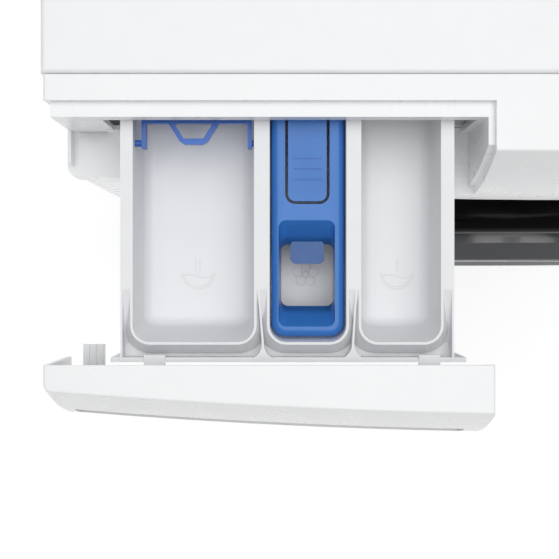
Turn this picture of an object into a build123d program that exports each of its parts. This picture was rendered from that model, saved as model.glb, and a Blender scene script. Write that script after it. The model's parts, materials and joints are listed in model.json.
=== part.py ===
"""Front loading washing machine, built as separate pieces.

Millimetres. +Z is up, the front faces -Y, and X = 0 is the machine's middle plane.
The origin lies on the floor under the middle of the whole machine with its drawer out.
The detergent drawer is built in its pulled out position.
"""
from build123d import *
from math import asin, cos, radians, sin, sqrt
import os

os.makedirs("parts", exist_ok=True)

# ---------------------------------------------------------------- driving dimensions
cabinet_width = 600
panel_width = 597
overall_height = 848
y_back = 343.2                 # rear edges of the side walls
sheet = 2                      # steel sheet
wall = 3                       # moulded plastic

panel_height = 100             # height of the control panel's face
panel_bow = 3566               # plan radius of the bowed face
face_run = 19.2                # how far the face leans forward from top to bottom
y_crease = -186.2              # top edge of the face at the middle plane
y_seam = -145                  # joint between control panel and worktop
drawer_travel = 139

z_axis = 418                   # height of the drum's axis and of the door's centre
drum_radius = 240
drum_front = -100
drum_rear = 212
drum_skin = 1.6                # thickness of the drum's sheet
tub_inner = 262
tub_outer = 268
tub_flange = 278               # rims that hold the tub's halves together
tub_split = 60                 # where the halves meet
bearing_radius = 32
shaft_radius = 15
pin_gap = 0.06                 # clearance round a hinge pin
tub_front_y = -128
tub_rear_y = 232
opening_radius = 180           # door opening in the front sheet
door_radius = 230

# ---------------------------------------------------------------- derived places
half_width = cabinet_width / 2
half_panel = panel_width / 2
z_top = overall_height
z_panel_low = z_top - panel_height
face_radius = (panel_height**2 + face_run**2) / (2 * face_run)
y_bow_axis = y_crease + panel_bow
drum_axis = Axis((0, 0, z_axis), (0, 1, 0))

# The recess that takes the drawer front.
recess_left = -295.8
recess_right = -62.8
recess_floor = z_top - 77
recess_back = y_crease + 18.8
step = 5                       # depth of the rebate round the recess
step_right = recess_right + 3.4
step_back = y_crease + 27

# The opening behind the recess, which the bin slides through.
slot_left = -269.6
slot_right = -67.3
slot_top = z_top - 18
slot_low = z_top - 65

# The bin, pulled out.
rim_z = z_top - 20
bin_left = -260.3
bin_right = -78.9
bin_front = -298.6
bin_rear = -39
bin_floor = slot_low + 3.5
pocket_front = -287.7
pocket_rear = -44
main_pocket = (-253.5, -187.6)
softener_pocket = (-179.2, -137.5)
prewash_pocket = (-129.4, -86.1)
pockets = (main_pocket, softener_pocket, prewash_pocket)

drawer_left = -half_panel
drawer_right = step_right - 0.5
drawer_back = -298.9           # rear edge of the drawer front's top, pulled out


# ---------------------------------------------------------------- helpers
def keep(builder, name):
    """Label a finished piece and write it."""
    builder.part.label = name
    export_step(builder.part, f"parts/{name}.step")


def block(x, y, z, mode=Mode.ADD):
    """A box from three (low, high) pairs."""
    centre = [(low + high) / 2 for low, high in (x, y, z)]
    with Locations(tuple(centre)):
        Box(x[1] - x[0], y[1] - y[0], z[1] - z[0], mode=mode)


def rod_y(radius, y, x=0, z=z_axis, mode=Mode.ADD):
    """A round bar along Y."""
    with BuildSketch(Plane((x, y[0], z), x_dir=(1, 0, 0), z_dir=(0, 1, 0))) as section:
        Circle(radius)
    extrude(section.sketch, amount=y[1] - y[0], mode=mode)


def rod_z(radius, z, x, y, mode=Mode.ADD):
    """A round bar along Z."""
    with BuildSketch(Plane((x, y, z[0]), z_dir=(0, 0, 1))) as section:
        Circle(radius)
    extrude(section.sketch, amount=z[1] - z[0], mode=mode)


def rod_x(radius, x, y, z, mode=Mode.ADD):
    """A round bar along X."""
    with BuildSketch(Plane((x[0], y, z), x_dir=(0, 1, 0), z_dir=(1, 0, 0))) as section:
        Circle(radius)
    extrude(section.sketch, amount=x[1] - x[0], mode=mode)


def turned(*points, mode=Mode.ADD):
    """A ring turned about the drum's axis from (radius, y) corners."""
    with BuildSketch(Plane.XY.offset(z_axis)) as section:
        with BuildLine():
            Polyline(*points, close=True)
        make_face()
    revolve(section.sketch, axis=drum_axis, mode=mode)


def face_point(z, inset=0):
    """Radius from the bow's axis to the face at one height."""
    return panel_bow + face_run - face_radius + sqrt((face_radius - inset) ** 2 - (z - z_panel_low) ** 2)


def bowed(z_low, z_high, depth, inset=0, shift=0, mode=Mode.ADD):
    """The volume behind the bowed and leaning face, between two heights."""
    half_turn = 5.2
    turn = radians(half_turn)
    start = Plane(
        (0, y_bow_axis + shift, 0), x_dir=(-sin(turn), -cos(turn), 0), z_dir=(-cos(turn), sin(turn), 0)
    )
    z_mid = (z_low + z_high) / 2
    with BuildSketch(start) as profile:
        with BuildLine():
            Polyline(
                (face_point(z_low, inset), z_low),
                (panel_bow - depth, z_low),
                (panel_bow - depth, z_high),
                (face_point(z_high, inset), z_high),
            )
            ThreePointArc(
                (face_point(z_high, inset), z_high),
                (face_point(z_mid, inset), z_mid),
                (face_point(z_low, inset), z_low),
            )
        make_face()
    bow_axis = Axis((0, y_bow_axis + shift, 0), (0, 0, 1))
    revolve(profile.sketch, axis=bow_axis, revolution_arc=2 * half_turn, mode=mode)


def crease_edges(builder, shift=0):
    """The top front edges of a bowed piece, round its corners too."""
    top = builder.edges().group_by(Axis.Z)[-1]
    return top.filter_by(lambda e: e.center().Y < y_crease + 14 + shift)


def face_plane(x, z):
    """The plane that touches the panel's face at one place, facing out."""
    tilt = asin((z - z_panel_low) / face_radius)
    turn = asin(x / panel_bow)
    radius = face_point(z)
    return Plane(
        (radius * sin(turn), y_bow_axis - radius * cos(turn), z),
        x_dir=(cos(turn), sin(turn), 0),
        z_dir=(cos(tilt) * sin(turn), -cos(tilt) * cos(turn), sin(tilt)),
    )


def tube(radius, points, bend, mode=Mode.ADD):
    """A round hose along straight runs joined by arcs."""
    with BuildPart(mode=Mode.PRIVATE) as run:
        with BuildLine() as path:
            FilletPolyline(*points, radius=bend)
        with BuildSketch(Plane(path.line @ 0, z_dir=path.line % 0)):
            Circle(radius)
        sweep(path=path.line)
    add(run.part, mode=mode)


# ================================================================ cabinet
back_wall = (331, 333)
valve_x, valve_z = -220, 760
gland_x, gland_z = -120, 735
drain_x, drain_z = 262, 700
spring_x, spring_y = 215, 142
spring_top = 786

# Side walls and back wall in one folded sheet, with the springs' brackets.
with BuildPart() as cabinet_shell:
    block((-half_width, half_width), (-184, y_back), (40, 818))
    block((-half_width + sheet, half_width - sheet), (-190, back_wall[0]), (30, 820), mode=Mode.SUBTRACT)
    block((-half_width + sheet, half_width - sheet), (back_wall[1], 350), (30, 820), mode=Mode.SUBTRACT)
    block((-205, 205), (325, 340), (120, 700), mode=Mode.SUBTRACT)
    rod_y(14.5, (320, 345), valve_x, valve_z, mode=Mode.SUBTRACT)
    rod_y(8.2, (320, 345), gland_x, gland_z, mode=Mode.SUBTRACT)
    rod_y(12.5, (320, 345), drain_x, drain_z, mode=Mode.SUBTRACT)
    for side in (-1, 1):
        lip = sorted((side * 282, side * (half_width - sheet / 2)))
        block(lip, (-184, -182), (114, 740))
        arm = sorted((side * 195, side * (half_width - sheet / 2)))
        block(arm, (spring_y - 20, spring_y + 20), (spring_top, spring_top + 4))
        web = sorted((side * 270, side * (half_width - sheet / 2)))
        block(web, (spring_y - 20, spring_y - 17), (spring_top - 40, spring_top + 2))
    block((-half_width + 1, half_width - 1), (305, 332), (806, 808))
    block((-half_width - 1, half_width + 1), (-190, y_seam), (746, 830), mode=Mode.SUBTRACT)
keep(cabinet_shell, "cabinet_shell")

# Service cover over the opening in the back wall, with a raised field.
with BuildPart() as rear_cover:
    with BuildSketch(Plane((0, 333.05, 410), x_dir=(-1, 0, 0), z_dir=(0, 1, 0))):
        RectangleRounded(446, 616, 20)
    extrude(amount=1.5)
    with BuildSketch(Plane((0, 334, 410), x_dir=(-1, 0, 0), z_dir=(0, 1, 0))):
        RectangleRounded(370, 540, 60)
    extrude(amount=6, taper=25)
    with BuildSketch(Plane((0, 333.05, 410), x_dir=(-1, 0, 0), z_dir=(0, 1, 0))):
        RectangleRounded(366, 536, 58)
    extrude(amount=5.4, taper=25, mode=Mode.SUBTRACT)
    for z_vent in range(560, 641, 16):
        block((-70, 70), (335, 345), (z_vent, z_vent + 5), mode=Mode.SUBTRACT)
keep(rear_cover, "rear_cover")

screw_places = [(x, z) for x in (-214, 214) for z in (130, 270, 410, 550, 690)]
screw_places += [(x, z) for x in (-110, 0, 110) for z in (111, 709)]
with BuildPart() as rear_screws:
    for screw_x, screw_z in screw_places:
        rod_y(4.5, (334.6, 337.2), screw_x, screw_z)
        rod_y(1.2, (336.0, 338), screw_x, screw_z, mode=Mode.SUBTRACT)
keep(rear_screws, "rear_screws")

# Worktop: a board with a rounded rim, open underneath towards the front.
with BuildPart() as top_plate:
    block((-half_width, half_width), (y_seam, y_back), (818.2, z_top))
    upright = top_plate.edges().filter_by(Axis.Z)
    fillet(upright.group_by(Axis.Y)[-1], radius=8)
    fillet(top_plate.faces().sort_by(Axis.Z)[-1].edges(), radius=2.5)
    block((-282, 282), (y_seam - 5, 300), (800, 836), mode=Mode.SUBTRACT)
keep(top_plate, "top_plate")

foot_places = [(x, y) for x in (-256, 256) for y in (-150, 300)]
pump_x, pump_z = 200, 64

# Base pan: a rim with one cross beam under the dampers.
with BuildPart() as base_frame:
    block((-296, 296), (-180, 329), (32, 56))
    block((-226, 226), (-130, 10), (30, 60), mode=Mode.SUBTRACT)
    block((-226, 226), (70, 270), (30, 60), mode=Mode.SUBTRACT)
    block((160, 240), (-190, -100), (34.5, 60), mode=Mode.SUBTRACT)
    for foot_x, foot_y in foot_places:
        rod_z(6.2, (30, 60), foot_x, foot_y, mode=Mode.SUBTRACT)
keep(base_frame, "base_frame")

# Screw feet with their lock nuts under the base pan.
with BuildPart() as levelling_feet:
    for foot_x, foot_y in foot_places:
        rod_z(22, (0, 8), foot_x, foot_y)
        rod_z(14, (7, 13), foot_x, foot_y)
        rod_z(6, (12, 66), foot_x, foot_y)
        with BuildSketch(Plane((foot_x, foot_y, 23.9), z_dir=(0, 0, 1))):
            RegularPolygon(11, 6)
        extrude(amount=8)
    rims = levelling_feet.faces().filter_by(GeomType.PLANE).group_by(Axis.Z)[0].edges()
    fillet(rims, radius=2)
keep(levelling_feet, "levelling_feet")

# ---------------------------------------------------------------- front sheet and plinth
sheet_front = -190
front_half = 297.8
lock_x = 207
with BuildPart() as front_panel:
    block((-front_half, front_half), (sheet_front, -184.4), (112, 746))
    inside = (-front_half + sheet, front_half - sheet)
    block(inside, (sheet_front + sheet, -180), (114, 744), mode=Mode.SUBTRACT)
    rod_y(opening_radius + 10, (-195, -180), mode=Mode.SUBTRACT)
    turned((188, -190), (194, -190), (194, -188), (190, -188), (182, -176), (180, -176), (180, -178))
    with BuildSketch(Plane((lock_x, -195, z_axis), x_dir=(1, 0, 0), z_dir=(0, 1, 0))):
        RectangleRounded(15, 30, 3)
    extrude(amount=12, mode=Mode.SUBTRACT)
keep(front_panel, "front_panel")

flap_x = (134, 266)
flap_z = (32, 94)
flap_axis_y, flap_axis_z = -187, 34
flap_pin_radius = 1.5
with BuildPart() as kick_panel:
    block((-front_half, front_half), (sheet_front, -180.5), (14, 110.5))
    inside = (-front_half + wall, front_half - wall)
    block(inside, (sheet_front + wall, -170), (10, 107.5), mode=Mode.SUBTRACT)
    fillet(kick_panel.edges().filter_by(Axis.Z).group_by(Axis.Y)[0], radius=1.5)
    block(flap_x, (-195, -180), (flap_z[0] - 2.5, flap_z[1]), mode=Mode.SUBTRACT)
    for x_ear in ((flap_x[0] - 6, flap_x[0]), (flap_x[1], flap_x[1] + 6)):
        block(x_ear, (sheet_front + 1, -183), (flap_z[0] - 3, flap_z[0] + 8))
    bearing_x = (flap_x[0] - 4, flap_x[1] + 4)
    rod_x(flap_pin_radius + pin_gap, bearing_x, flap_axis_y, flap_axis_z, mode=Mode.SUBTRACT)
keep(kick_panel, "kick_panel")

with BuildPart() as filter_flap:
    block((flap_x[0] + 0.6, flap_x[1] - 0.6), (sheet_front, -186), (flap_z[0], flap_z[1] - 0.6))
    fillet(filter_flap.edges().filter_by(Axis.X).group_by(Axis.Z)[0], radius=1.5)
    block((175, 225), (-192, -188.6), (flap_z[1] - 12, flap_z[1] + 1), mode=Mode.SUBTRACT)
    rod_x(flap_pin_radius, (flap_x[0] - 3.6, flap_x[1] + 3.6), flap_axis_y, flap_axis_z)
keep(filter_flap, "filter_flap")

# ================================================================ control panel
knob_x, knob_z, knob_radius = 20, 795, 26
display_x = (108, 232)
display_z = (778, 818)
round_buttons = {"power_button": (72, 795, 9), "start_button": (264, 795, 11)}
option_buttons = {"temperature_button": 128, "spin_button": 170, "delay_button": 212}
option_z, option_size = 764, (26, 7)
tab_x = (-290.5, -274.5)       # passage for the guide tab on the drawer front

# The inside of the panel, less the walls that it keeps round the drawer's recess.
with BuildPart() as panel_hollow:
    bowed(z_panel_low - 1, z_top - wall, 60, inset=wall)
    block((-half_panel + wall, half_panel - wall), (-300, 0), (700, 900), mode=Mode.INTERSECT)
    walls_x = (recess_left - 9, step_right + wall)
    block(walls_x, (-300, recess_back + wall), (recess_floor - wall, 900), mode=Mode.SUBTRACT)
    block(walls_x, (-300, step_back + wall), (z_top - step - wall, 900), mode=Mode.SUBTRACT)

# The rebate that the drawer front's edges close into.
with BuildPart() as recess_rebate:
    bowed(recess_floor, z_top + 2, 60, inset=-8)
    bowed(recess_floor - 5, z_top - step, 70, inset=step, mode=Mode.SUBTRACT)
    block((-320, step_right), (-300, step_back), (recess_floor, 900), mode=Mode.INTERSECT)

with BuildPart() as control_panel:
    bowed(z_panel_low, z_top, 60)
    block((-half_panel, half_panel), (-300, y_seam - 0.5), (700, 900), mode=Mode.INTERSECT)
    ends = control_panel.edges().filter_by(lambda e: abs(e.center().X) > half_panel - 0.5)
    fillet(ends.filter_by(lambda e: e.center().Y < y_crease + 14 and e.length > 50), radius=4.5)
    fillet(crease_edges(control_panel), radius=1.4)
    add(panel_hollow.part, mode=Mode.SUBTRACT)
    # The recess, open to the left, with a low lip along its left end.
    block((recess_left + 1.2, recess_right), (-300, recess_back), (recess_floor, 900), mode=Mode.SUBTRACT)
    block((-320, recess_left), (-300, recess_back), (recess_floor, 900), mode=Mode.SUBTRACT)
    block((-320, recess_left + 2), (-300, recess_back), (recess_floor + 12.5, 900), mode=Mode.SUBTRACT)
    block((-320, recess_left), (-300, step_back), (recess_floor, 900), mode=Mode.SUBTRACT)
    add(recess_rebate.part, mode=Mode.SUBTRACT)
    # The opening for the bin and the slot for the guide tab.
    back_wall_y = (recess_back - 1, recess_back + 9)
    block((slot_left, slot_right), back_wall_y, (slot_low, slot_top), mode=Mode.SUBTRACT)
    block((slot_right - 10.7, slot_right), back_wall_y, (recess_floor, slot_top), mode=Mode.SUBTRACT)
    block(tab_x, back_wall_y, (recess_floor, recess_floor + 6.5), mode=Mode.SUBTRACT)
    # Holes for the controls.
    block(display_x, (-300, -170), display_z, mode=Mode.SUBTRACT)
    with BuildSketch(face_plane(knob_x, knob_z)):
        Circle(9)
    extrude(amount=-12, both=True, mode=Mode.SUBTRACT)
    for button_x, button_z, button_radius in round_buttons.values():
        with BuildSketch(face_plane(button_x, button_z)):
            Circle(button_radius + 0.4)
        extrude(amount=-8, both=True, mode=Mode.SUBTRACT)
    for button_x in option_buttons.values():
        with BuildSketch(face_plane(button_x, option_z)):
            RectangleRounded(option_size[0] + 0.8, option_size[1] + 0.8, 2.4)
        extrude(amount=-8, both=True, mode=Mode.SUBTRACT)
keep(control_panel, "control_panel")

with BuildPart() as display_window:
    bowed(display_z[0] + 0.2, display_z[1] - 0.2, 60, inset=0.2)
    bowed(display_z[0] - 1, display_z[1] + 1, 70, inset=2.4, mode=Mode.SUBTRACT)
    block((display_x[0] + 0.2, display_x[1] - 0.2), (-300, -150), (700, 900), mode=Mode.INTERSECT)
keep(display_window, "display_window")

board_y = -168
with BuildPart() as control_board:
    block((-20, 276), (board_y, board_y + 1.6), (758, 834))
    module_x = (display_x[0] + 8, display_x[1] - 8)
    block(module_x, (board_y - 14, board_y), (display_z[0] + 4, display_z[1] - 4))
    block((knob_x - 14, knob_x + 14), (board_y - 10, board_y), (knob_z - 14, knob_z + 14))
    for part_x in (60, 86, 150, 190):
        block((part_x, part_x + 18), (board_y + 1.6, board_y + 16), (770, 800))
    with BuildSketch(face_plane(knob_x, knob_z)):
        Circle(3.2)
    extrude(amount=-60, mode=Mode.SUBTRACT)
keep(control_board, "control_board")

with BuildPart() as programme_knob:
    with BuildSketch(face_plane(knob_x, knob_z).offset(0.6)):
        Circle(knob_radius)
    extrude(amount=5)
    with BuildSketch(face_plane(knob_x, knob_z).offset(5)):
        Circle(knob_radius - 4)
    extrude(amount=14, taper=3)
    fillet(programme_knob.edges().filter_by(GeomType.CIRCLE).sort_by(Axis.Y)[0], radius=1.6)
    with BuildSketch(face_plane(knob_x, knob_z).offset(1)):
        with PolarLocations(knob_radius - 3.6, 30):
            Circle(1.1)
    extrude(amount=20, mode=Mode.SUBTRACT)
    with BuildSketch(face_plane(knob_x, knob_z).offset(17)):
        with Locations((0, knob_radius - 11)):
            RectangleRounded(2.2, 9, 1)
    extrude(amount=5, mode=Mode.SUBTRACT)
    with BuildSketch(face_plane(knob_x, knob_z).offset(1)):
        Circle(3.1)
    extrude(amount=-18)
keep(programme_knob, "programme_knob")


def round_button(name):
    """A sprung round cap that stands a little proud of the panel."""
    button_x, button_z, button_radius = round_buttons[name]
    with BuildPart() as button:
        with BuildSketch(face_plane(button_x, button_z).offset(1.6)):
            Circle(button_radius)
        extrude(amount=-7)
        fillet(button.edges().filter_by(GeomType.CIRCLE).sort_by(Axis.Y)[0], radius=0.8)
    keep(button, name)


def option_button(name):
    """A sprung bar shaped key under the display."""
    with BuildPart() as button:
        with BuildSketch(face_plane(option_buttons[name], option_z).offset(1.6)):
            RectangleRounded(option_size[0], option_size[1], 2)
        extrude(amount=-7)
        fillet(button.faces().sort_by(Axis.Y)[0].edges(), radius=0.7)
    keep(button, name)


for name in round_buttons:
    round_button(name)
for name in option_buttons:
    option_button(name)

# ================================================================ detergent dispenser
housing_x = (slot_left - 3, slot_right + 2)
housing_z = (recess_floor - 2.5, slot_top + 3.5)
housing_y = (recess_back + wall + 0.3, 112)
housing_wall = 2.5
housing_outside = (housing_x[0] - housing_wall, housing_x[1] + housing_wall)
spout_place, spout_z = (-170, 92), 740
valve_hose_z = 800
with BuildPart() as dispenser_housing:
    block(housing_outside, housing_y, housing_z)
    block(housing_x, (-200, housing_y[1] - housing_wall), (recess_floor, slot_top + 1), mode=Mode.SUBTRACT)
    ledge_x = (housing_x[1] - 10.5, housing_x[1] + 1)
    block(ledge_x, (housing_y[0], housing_y[1] - 1), (recess_floor - 1, recess_floor + 7))
    rod_z(17, (spout_z, housing_z[0] + 1), *spout_place)
    rod_z(14, (spout_z - 5, housing_z[0] + 6), *spout_place, mode=Mode.SUBTRACT)
    rod_y(8, (housing_y[1] - 1, housing_y[1] + 14), valve_x, valve_hose_z)
    rod_y(5, (housing_y[1] - 5, housing_y[1] + 20), valve_x, valve_hose_z, mode=Mode.SUBTRACT)
    for rib_y in range(-140, 90, 30):
        block(housing_outside, (rib_y, rib_y + 2), (housing_z[0] - 5, housing_z[0] + 0.5))
keep(dispenser_housing, "dispenser_housing")

with BuildPart() as inlet_valve:
    block((valve_x - 20, valve_x + 20), (300, 330.5), (valve_z - 18, valve_z + 20))
    block((valve_x - 12, valve_x + 12), (292, 318), (valve_z + 20, valve_z + 42))
    rod_y(13.2, (330, y_back), valve_x, valve_z)
    rod_y(9.5, (334, y_back + 2), valve_x, valve_z, mode=Mode.SUBTRACT)
    rod_y(6.3, (286, 301), valve_x, valve_z)
keep(inlet_valve, "inlet_valve")

with BuildPart() as valve_hose:
    low_run = [(valve_x, 285.8, valve_z), (valve_x, 215, valve_z)]
    high_run = [(valve_x, 170, valve_hose_z), (valve_x, housing_y[1] + 14.2, valve_hose_z)]
    tube(6, low_run + high_run, 30)
keep(valve_hose, "valve_hose")

with BuildPart() as mains_gland:
    rod_y(13, (333.1, 336), gland_x, gland_z)
    rod_y(8, (322, 334), gland_x, gland_z)
    rod_y(9, (335, 342), gland_x, gland_z)
    rod_y(3.8, (320, 345), gland_x, gland_z, mode=Mode.SUBTRACT)
keep(mains_gland, "mains_gland")

# ---------------------------------------------------------------- drawer front
slot_z = (z_top - 70, z_top - 42)       # finger slot in the drawer front
slot_x = (-288.8, -69.8)
clip_places = (-241.6, -92.4)

# The inside of the drawer front's shell.
with BuildPart() as front_hollow:
    bowed(recess_floor - 5, z_top - 2.6, 110, inset=2.6, shift=-drawer_travel)
    block((drawer_left + 2.4, drawer_right - 6), (-400, 0), (700, 900), mode=Mode.INTERSECT)

lap = 4.4                      # edges of the drawer front that lie in the rebate
with BuildPart() as end_step:
    bowed(recess_floor - 5, z_top - lap, 110, inset=lap, shift=-drawer_travel)
    block((recess_right - 0.6, 0), (-400, 0), (700, 900), mode=Mode.INTERSECT)

with BuildPart() as drawer_front:
    bowed(recess_floor + 0.6, z_top, 110, shift=-drawer_travel)
    block((drawer_left, drawer_right), (-400, drawer_back), (700, 900), mode=Mode.INTERSECT)
    left_end = drawer_front.edges().filter_by(lambda e: e.center().X < drawer_left + 0.5)
    fillet(left_end.filter_by(lambda e: e.center().Y < -312 and e.length > 40), radius=4.5)
    fillet(crease_edges(drawer_front, -drawer_travel), radius=1.4)
    add(front_hollow.part, mode=Mode.SUBTRACT)
    # The right end and the back step in behind the edges that overlap the rebate.
    add(end_step.part, mode=Mode.SUBTRACT)
    behind_rim = (drawer_back - 8, drawer_back + 1)
    block((drawer_left + 6, drawer_right + 1), behind_rim, (700, z_top - lap), mode=Mode.SUBTRACT)
    block(slot_x, (-400, -300), slot_z, mode=Mode.SUBTRACT)
    # Two posts that the bin's clips hold, and the ribbed guide tab.
    for clip_x in clip_places:
        post_front = face_plane(clip_x, slot_top).origin.Y - drawer_travel + 1.5
        block((clip_x - 5.6, clip_x + 5.6), (post_front, bin_front - 3.2), (slot_z[1] + 3, slot_top - 0.6))
    block((-288.9, -276), (-329, -291.5), (recess_floor + 1.5, recess_floor + 3.6))
    for ridge_x in (-285.6, -281.6, -277.6):
        block((ridge_x - 0.5, ridge_x + 0.5), (-327.5, -291.5), (recess_floor + 3, recess_floor + 5))
    block((drawer_left + 1, -275), (-331, -327), (recess_floor + 0.6, slot_z[0] - 2.2))
keep(drawer_front, "drawer_front")

# Dark liner of the finger slot: the hollow first, then the piece round it.
with BuildPart() as grip_pocket:
    bowed(slot_z[0], slot_z[1], -3, inset=-5, shift=-drawer_travel)
    block(slot_x, (-400, -300), (700, 900), mode=Mode.INTERSECT)

with BuildPart() as drawer_grip:
    bowed(slot_z[0] - 1.6, slot_z[1] + 1.6, -1.4, inset=2.65, shift=-drawer_travel)
    block((slot_x[0] - 1.6, slot_x[1] + 1.6), (-400, -300), (700, 900), mode=Mode.INTERSECT)
    add(grip_pocket.part, mode=Mode.SUBTRACT)
keep(drawer_grip, "drawer_grip")

# ---------------------------------------------------------------- bin with three compartments
def tub_shape(span, grow_top, grow_low, z_high, z_low, corner, low_front, low_rear=0):
    """A tapered tub between two rounded rectangles; grow widens it all round."""
    outlines = []
    for z_level, grow, front in ((z_high, grow_top, 0), (z_low, grow_low, low_front)):
        rear = low_rear if z_level == z_low else 0
        width = span[1] - span[0] + 2 * grow
        length = pocket_rear - pocket_front + 2 * grow - front - rear
        middle = (pocket_rear - rear + pocket_front + front) / 2
        with BuildSketch(Plane(((span[0] + span[1]) / 2, middle, z_level), z_dir=(0, 0, 1))) as outline:
            RectangleRounded(width, length, corner + max(grow, -3))
        outlines.append(outline.sketch)
    loft(outlines)


corner_radius = 9.2
with BuildPart() as pocket_tools:
    for span in pockets:
        tub_shape(span, 0, -2.2, rim_z, bin_floor, corner_radius, 6, 2)
    low_edges = pocket_tools.faces().filter_by(Axis.Z).group_by(Axis.Z)[0].edges()
    fillet(low_edges, radius=6.5)

# The tubs' outsides, which fall away into the valley in front of them.
with BuildPart() as tub_tools:
    for span in pockets:
        tub_shape(span, 1.4, 1.4, rim_z + 1, rim_z - 2, corner_radius, 0)
    for span in pockets:
        tub_shape(span, 1.4, 6.4, rim_z - 0.6, rim_z - 11, corner_radius, 0)

valley_y = (bin_front + 1.7, -259)
valley_z = rim_z - 13
web_places = [
    (main_pocket[1] + softener_pocket[0]) / 2 + 0.6,
    (softener_pocket[1] + prewash_pocket[0]) / 2 - 0.4,
]
with BuildPart() as valley_tool:
    with BuildSketch(Plane((bin_left + 1.2, 0, 0), x_dir=(0, 1, 0), z_dir=(1, 0, 0))):
        with BuildLine():
            Polyline(
                (valley_y[1], rim_z),
                (valley_y[1], rim_z + 3),
                (valley_y[0], rim_z + 3),
                (valley_y[0], valley_z),
                (valley_y[0] + 8, valley_z),
            )
            ThreePointArc((valley_y[0] + 8, valley_z), (valley_y[1] - 13, rim_z - 4.4), (valley_y[1], rim_z))
        make_face()
    extrude(amount=bin_right - bin_left - 2.4)
    add(tub_tools.part, mode=Mode.SUBTRACT)
    flare = 8
    for web_x, lean in zip(web_places, (-2.4, 1.8)):
        with BuildSketch(Plane.XY.offset(valley_z - 1)):
            with BuildLine():
                Polyline(
                    (web_x - 0.6 - flare, valley_y[0]),
                    (web_x - 0.6 - flare, valley_y[0] - 1),
                    (web_x + 0.6 + flare, valley_y[0] - 1),
                    (web_x + 0.6 + flare, valley_y[0]),
                )
                ThreePointArc(
                    (web_x + 0.6 + flare, valley_y[0]),
                    (web_x + 0.6 + flare * 0.293, valley_y[0] + flare * 0.293),
                    (web_x + 0.6, valley_y[0] + flare),
                )
                Polyline(
                    (web_x + 0.6, valley_y[0] + flare),
                    (web_x + 0.5 + lean, valley_y[1]),
                    (web_x - 0.5 + lean, valley_y[1]),
                    (web_x - 0.6, valley_y[0] + flare),
                )
                ThreePointArc(
                    (web_x - 0.6, valley_y[0] + flare),
                    (web_x - 0.6 - flare * 0.293, valley_y[0] + flare * 0.293),
                    (web_x - 0.6 - flare, valley_y[0]),
                )
            make_face()
        extrude(amount=40, mode=Mode.SUBTRACT)

flap_pivot_y, flap_pivot_z = -179, rim_z - 8
flap_pin = 1.8                 # radius of the flap's pins
siphon_place = (-158.4, -75)
with BuildPart() as drawer_bin:
    block((bin_left, bin_right), (bin_front, bin_rear), (slot_low + 1, rim_z))
    add(pocket_tools.part, mode=Mode.SUBTRACT)
    add(valley_tool.part, mode=Mode.SUBTRACT)
    # Slots from below that keep the dividers thin.
    for gap in ((main_pocket[1], softener_pocket[0]), (softener_pocket[1], prewash_pocket[0])):
        block((gap[0] + 2.6, gap[1] - 2.6), (-255, -60), (slot_low, rim_z - 4), mode=Mode.SUBTRACT)
    # Outlets at the rear of the two wash compartments.
    for span in (main_pocket, prewash_pocket):
        middle = (span[0] + span[1]) / 2
        outlet = (middle - 14, middle + 14)
        block(outlet, (pocket_rear - 12, bin_rear + 2), (bin_floor, bin_floor + 16), mode=Mode.SUBTRACT)
    # Front flange ears and the two clips on the front wall.
    block((-265.6, -72.4), (bin_front, bin_front + 2.6), (slot_low + 1, rim_z - 0.4))
    for clip_x in clip_places:
        block((clip_x - 5.7, clip_x + 5.7), (bin_front - 2.8, bin_front + 4), (rim_z - 2.2, rim_z + 1))
    # Siphon tube in the softener compartment.
    rod_z(4.5, (bin_floor - 1, rim_z - 14), *siphon_place)
    rod_z(2.6, (bin_floor - 8, rim_z - 10), *siphon_place, mode=Mode.SUBTRACT)
    # Bearings of the liquid detergent flap.
    pin_run = (main_pocket[0] - 3.4, main_pocket[1] + 3.4)
    rod_x(flap_pin + pin_gap, pin_run, flap_pivot_y, flap_pivot_z, mode=Mode.SUBTRACT)
keep(drawer_bin, "drawer_bin")

# ---------------------------------------------------------------- siphon cover
cover_x = (-178.2, -138.5)
cover_y = (-284.9, -60)
cover_z = (rim_z - 11, rim_z - 2.6)
funnel_top = ((-174.3, -143.6), (-279.4, -221.4))
funnel_low = ((-172.9, -143.9), (-268.4, -234))
funnel_depth = 15
tongue_x = (-169.1, -148.1)
tongue_y = (-211, -146)
tongue_gap = 1.6


def funnel(grow, z_high, z_low):
    """The pouring funnel's outline, widened all round."""
    outlines = []
    for (span_x, span_y), level in ((funnel_top, z_high), (funnel_low, z_low)):
        centre = (sum(span_x) / 2, sum(span_y) / 2, level)
        with BuildSketch(Plane(centre, z_dir=(0, 0, 1))) as outline:
            RectangleRounded(span_x[1] - span_x[0] + 2 * grow, span_y[1] - span_y[0] + 2 * grow, 4 + grow)
        outlines.append(outline.sketch)
    loft(outlines)


with BuildPart() as funnel_outside:
    funnel(1.5, cover_z[1] - 0.8, cover_z[1] - funnel_depth)

with BuildPart() as funnel_hole:
    funnel(0, cover_z[1] + 0.01, cover_z[1] - funnel_depth - 0.01)

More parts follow.
